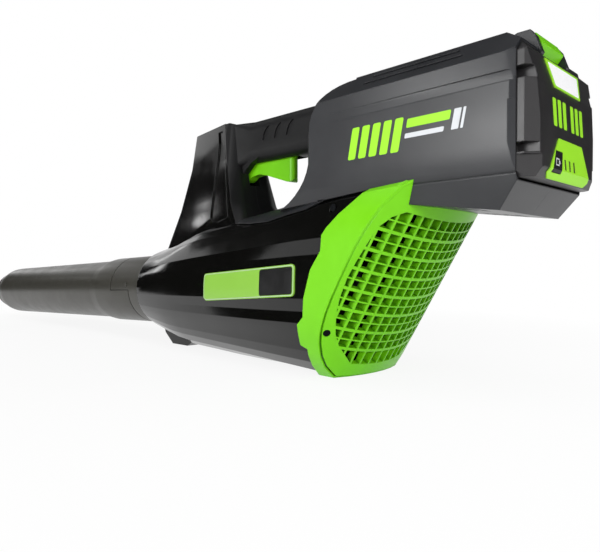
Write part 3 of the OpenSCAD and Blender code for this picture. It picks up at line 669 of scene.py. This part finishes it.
def screw_drives(name, node):
    """Six-lobed drives: on each head a raised ring of metal with a star-shaped hole."""
    mesh = bmesh.new()
    for centre, out in screw_heads(node):
        turn = out.to_track_quat("Z", "Y").to_matrix().to_4x4()
        turn.translation = centre
        outer = add_circle(mesh, DRIVE_RADIUS, turn)
        inner = add_circle(mesh, DRIVE_HOLE, turn)
        for k, vert in enumerate(inner):
            lobe = 0.82 + 0.18 * cos(6 * 2 * pi * k / len(inner))
            vert.co = centre + (vert.co - centre) * lobe
        loops = {*outer, *inner}
        edges = [edge for edge in mesh.edges if loops.issuperset(edge.verts)]
        ring = bmesh.ops.bridge_loops(mesh, edges=edges)["faces"]
        thicken(mesh, ring, out * DRIVE_RISE * MM)
    finish_piece(name, mesh, SCREW, "machine")


def trigger_coil():
    """The trigger's return spring, wound from 1 mm wire, drawn at one length; the real one
    shortens as the trigger is pulled.
    """
    turns, steps_a_turn = 6, 24
    climb, coil_radius, wire_radius = 14 * MM, 4 * MM, 0.5 * MM
    mesh = bmesh.new()
    foot = at(-285, 0, 214.7)
    wire_place = Matrix.Translation(foot + Vector((coil_radius, 0, 0)))
    bmesh.ops.create_circle(
        mesh,
        cap_ends=True,
        segments=8,
        radius=wire_radius,
        matrix=wire_place @ Matrix.Rotation(pi / 2, 4, "X"),
    )
    bmesh.ops.spin(
        mesh,
        geom=mesh.verts[:] + mesh.edges[:] + mesh.faces[:],
        cent=foot,
        axis=(0, 0, 1),
        dvec=(0, 0, climb / (turns * steps_a_turn)),
        angle=turns * 2 * pi,
        steps=turns * steps_a_turn,
    )
    coil = finish_piece("trigger_coil", mesh, STEEL, "machine")
    for polygon in coil.data.polygons:
        polygon.use_smooth = True
    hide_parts("trigger_spring")
    # the switch holds the upper end, and the trigger's seat takes 6.5 mm of the 15 mm
    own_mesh(coil)


side_marks(-1, "left")
side_marks(1, "right")
badge_print(-1, "left")
badge_print(1, "right")
battery_marks()
trigger_coil()
screw_drives("housing_screw_drives", "housing_screws")
screw_drives("cover_screw_drives", "cover_screws")


# ---------------------------------------------------------------- stage, light and camera


def white_seen(tree):
    """A socket that is 1 for rays that show a background: camera, glossy and transmission."""
    path = add_node(tree, "ShaderNodeLightPath")
    gloss = add_node(
        tree,
        "ShaderNodeMath",
        {"operation": "MAXIMUM"},
        {0: path.outputs["Is Glossy Ray"], 1: path.outputs["Is Transmission Ray"]},
    )
    seen = add_node(
        tree,
        "ShaderNodeMath",
        {"operation": "MAXIMUM"},
        {0: path.outputs["Is Camera Ray"], 1: gloss.outputs[0]},
    )
    return seen.outputs[0]


def make_stage():
    """White paper: it keeps the machine's shadow close by and turns plain white further off."""
    material, tree, shader = new_material("studio_paper", "#f4f4f4", 0.7)
    place = add_node(tree, "ShaderNodeTexCoord").outputs["Object"]
    reach = add_node(tree, "ShaderNodeVectorMath", {"operation": "LENGTH"}, {0: place})
    # how much of it is plain white, from 0.3 m to 0.75 m away from the machine's middle
    plain = add_node(
        tree,
        "ShaderNodeMapRange",
        inputs={
            "Value": reach.outputs["Value"],
            "From Min": 0.3,
            "From Max": 0.75,
            "To Min": 0.88,
            "To Max": 1.0,
        },
    )
    share = add_node(
        tree,
        "ShaderNodeMath",
        {"operation": "MULTIPLY"},
        {0: white_seen(tree), 1: plain.outputs["Result"]},
    )
    white = add_node(
        tree,
        "ShaderNodeEmission",
        inputs={"Color": linear(WHITE), "Strength": 1.0},
    )
    both = add_node(
        tree,
        "ShaderNodeMixShader",
        inputs={"Fac": share.outputs[0], 1: shader.outputs[0], 2: white.outputs[0]},
    )
    tree.links.new(both.outputs[0], tree.nodes["Material Output"].inputs["Surface"])
    mesh = bmesh.new()
    bmesh.ops.create_grid(mesh, x_segments=1, y_segments=1, size=30)
    link_mesh("floor", mesh, material)


def make_world():
    """White all round to the eye and in reflections; its light is a soft even fill."""
    world = bpy.data.worlds.new("studio")
    bpy.context.scene.world = world
    world.use_nodes = True
    tree = world.node_tree
    tree.nodes.clear()
    # the light on the machine, and the white that is seen
    fill, white = [
        add_node(
            tree,
            "ShaderNodeBackground",
            inputs={"Color": linear(WHITE), "Strength": strength},
        )
        for strength in (0.35, 1.0)
    ]
    mix = add_node(
        tree,
        "ShaderNodeMixShader",
        inputs={"Fac": white_seen(tree), 1: fill.outputs[0], 2: white.outputs[0]},
    )
    add_node(tree, "ShaderNodeOutputWorld", inputs={"Surface": mix.outputs[0]})


def add_card(name, centre, width, height, turn):
    """A black studio card that only reflections see: it gives a glossy skin its dark bands."""
    mesh = bmesh.new()
    place = Matrix.Translation(centre) @ turn @ Matrix.Diagonal((width / 2, height / 2, 1, 1))
    bmesh.ops.create_grid(mesh, x_segments=1, y_segments=1, size=1, matrix=place)
    card = link_mesh(name, mesh, CARD)
    for sight in ("camera", "diffuse", "transmission", "shadow", "volume_scatter"):
        setattr(card, f"visible_{sight}", False)


def upright(degrees):
    """Stands a card on its edge and turns it about the vertical."""
    return Matrix.Rotation(radians(degrees), 4, "Z") @ Matrix.Rotation(pi / 2, 4, "X")


def add_softbox(name, place, target, width, height, watts, mirrored=True):
    """A rectangular lamp that faces a target; one that isn't mirrored leaves no glare."""
    lamp = bpy.data.lights.new(name, "AREA")
    lamp.shape = "RECTANGLE"
    lamp.size = width
    lamp.size_y = height
    lamp.energy = watts
    box = bpy.data.objects.new(name, lamp)
    bpy.context.collection.objects.link(box)
    box.location = place
    towards = Vector(target) - Vector(place)
    box.rotation_euler = towards.to_track_quat("-Z", "Y").to_euler()
    box.visible_glossy = mirrored


def make_camera():
    """Close to the battery, level with the fan axis, at 45 degrees to the machine."""
    width_px, height_px, focal_px, horizon_px = 600, 552, 570, 267
    turn = radians(45)
    pitch = atan((horizon_px - height_px / 2) / focal_px)
    ahead = Vector((-sin(turn) * cos(pitch), cos(turn) * cos(pitch), sin(pitch)))
    right = Vector((cos(turn), sin(turn), 0))
    up = right.cross(ahead)
    data = bpy.data.cameras.new("camera")
    data.sensor_width = 36
    data.lens = focal_px / width_px * data.sensor_width
    data.clip_start = 0.01
    camera = bpy.data.objects.new("camera", data)
    bpy.context.collection.objects.link(camera)
    camera.matrix_world = Matrix((right, up, -ahead)).transposed().to_4x4()
    camera.location = (0.6951, -0.4137, 0.0961)
    bpy.context.scene.camera = camera


CARD = new_material("black_card", "#101010", 0.9)[0]

make_stage()
make_world()
add_card("ceiling_card", (0.1, 0, 2.1), 9, 9, Matrix.Identity(4))
add_card("side_card", (-1.44, -0.8, 0.34), 1.9, 0.7, upright(-66))
add_card("far_card", (2.1, 2.1, 1.0), 4.4, 3.0, upright(-45))
# the overhead fill
add_softbox("roof_box", (0.1, -0.5, 1.9), (0.1, 0, 0.1), 2.2, 0.9, 12)
# the upright strip that the flutes mirror, and a small box for the glint on the handle's post
add_softbox("strip_box", (-1.5, 0.12, 0.45), (0.18, -0.05, 0.12), 0.07, 0.7, 0.3)
add_softbox("nose_box", (-1.335, -0.346, 0.433), (0.104, -0.014, 0.173), 0.1, 0.05, 0.08)
# the side light, and one for the battery's face that leaves no glare on the housing's top
add_softbox("left_box", (-0.02, -1.75, 0.42), (0.5, 0, 0.18), 0.65, 0.6, 14)
add_softbox("rear_box", (1.6, -0.75, 0.42), (0.53, 0, 0.17), 0.5, 0.5, 12, mirrored=False)
make_camera()
bpy.context.scene.view_settings.view_transform = "Standard"
